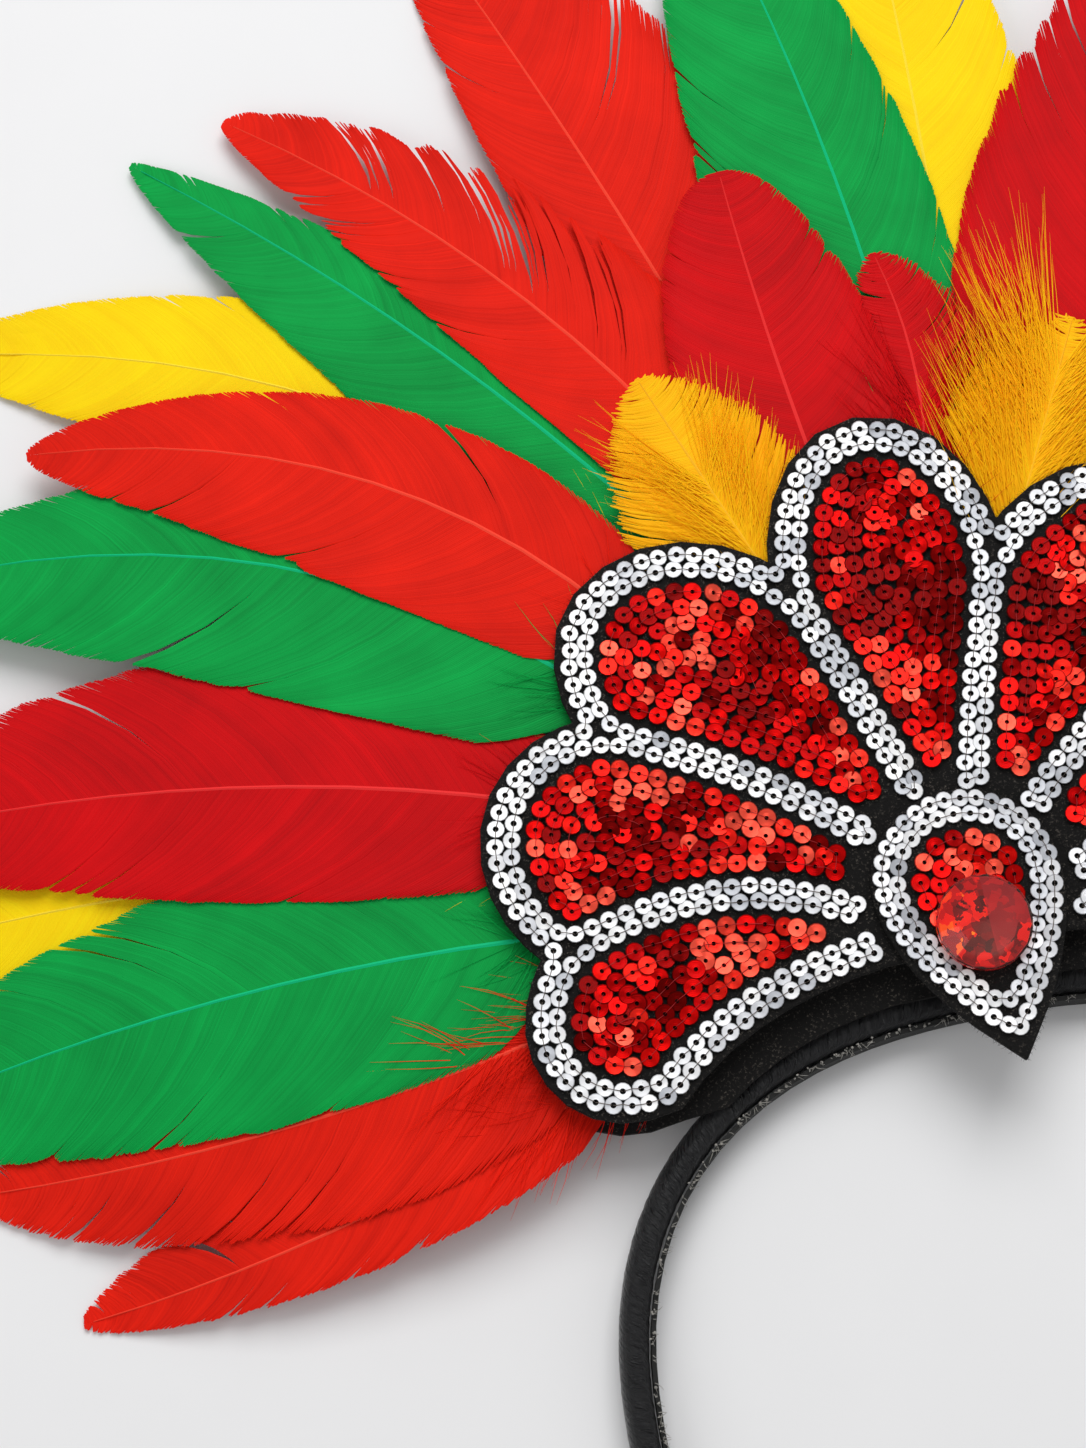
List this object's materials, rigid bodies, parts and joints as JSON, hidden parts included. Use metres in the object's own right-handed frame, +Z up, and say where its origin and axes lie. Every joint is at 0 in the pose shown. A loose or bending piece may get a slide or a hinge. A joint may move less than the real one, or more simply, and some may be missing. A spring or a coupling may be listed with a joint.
{
  "type": "feather headdress",
  "caption": "Carnival headdress: a horseshoe headband with a fan of sequin-filled felt lobes, a teardrop plaque with a faceted stone, and bright feathers fanned out behind, lying on its back.",
  "frame": {"origin": "middle of the headband's flat lower edge at the band's apex, on the table that it lies on", "axes": "+Z up from the table, out of the headdress's front; +Y along the fan's axis towards the top feathers; +X to the right as seen from the front"},
  "size_m": [0.3778, 0.345, 0.0223],
  "materials": {
    "black_satin": "satin ribbon wound round the band",
    "black_lining": "matt woven strip",
    "black_felt": "matt felt",
    "silver_sequin": "flat silver-white sequins in two rows",
    "red_sequin": "cupped red sequins, overlapping",
    "red_stone": "faceted clear red, foiled back",
    "red_feather": "dyed feather",
    "green_feather": "dyed feather",
    "yellow_feather": "dyed feather",
    "orange_feather": "dyed feather, short and fluffy"
  },
  "bodies": {
    "root": {"headband": "black_satin", "headband_lining": "black_lining", "fan_back_felt": "black_felt", "fan_front_felt": "black_felt", "fan_silver_trim": "silver_sequin", "plaque_felt": "black_felt", "plaque_silver_trim": "silver_sequin", "plaque_sequins": "red_sequin", "gem": "red_stone", "lobe_sequins_1": "red_sequin", "lobe_sequins_2": "red_sequin", "lobe_sequins_3": "red_sequin", "lobe_sequins_4": "red_sequin", "lobe_sequins_5": "red_sequin", "lobe_sequins_6": "red_sequin", "lobe_sequins_7": "red_sequin", "feather_yellow_upper_left": "yellow_feather", "feather_yellow_upper_right": "yellow_feather", "feather_yellow_lower_left": "yellow_feather", "feather_yellow_lower_right": "yellow_feather", "feather_red_bottom_left": "red_feather", "feather_red_bottom_right": "red_feather", "feather_red_low_left": "red_feather", "feather_red_low_right": "red_feather", "feather_green_upper_left": "green_feather", "feather_green_upper_right": "green_feather", "feather_green_low_left": "green_feather", "feather_green_low_right": "green_feather", "feather_red_side_left": "red_feather", "feather_red_side_right": "red_feather", "feather_green_side_left": "green_feather", "feather_green_side_right": "green_feather", "feather_red_shoulder_left": "red_feather", "feather_red_shoulder_right": "red_feather", "feather_red_back": "red_feather", "feather_yellow_top": "yellow_feather", "feather_green_top": "green_feather", "feather_red_upper_left": "red_feather", "feather_red_upper_right": "red_feather", "feather_red_inner": "red_feather", "feather_red_front": "red_feather", "feather_orange_left": "orange_feather", "feather_orange_right": "orange_feather"}
  },
  "joints": []
}
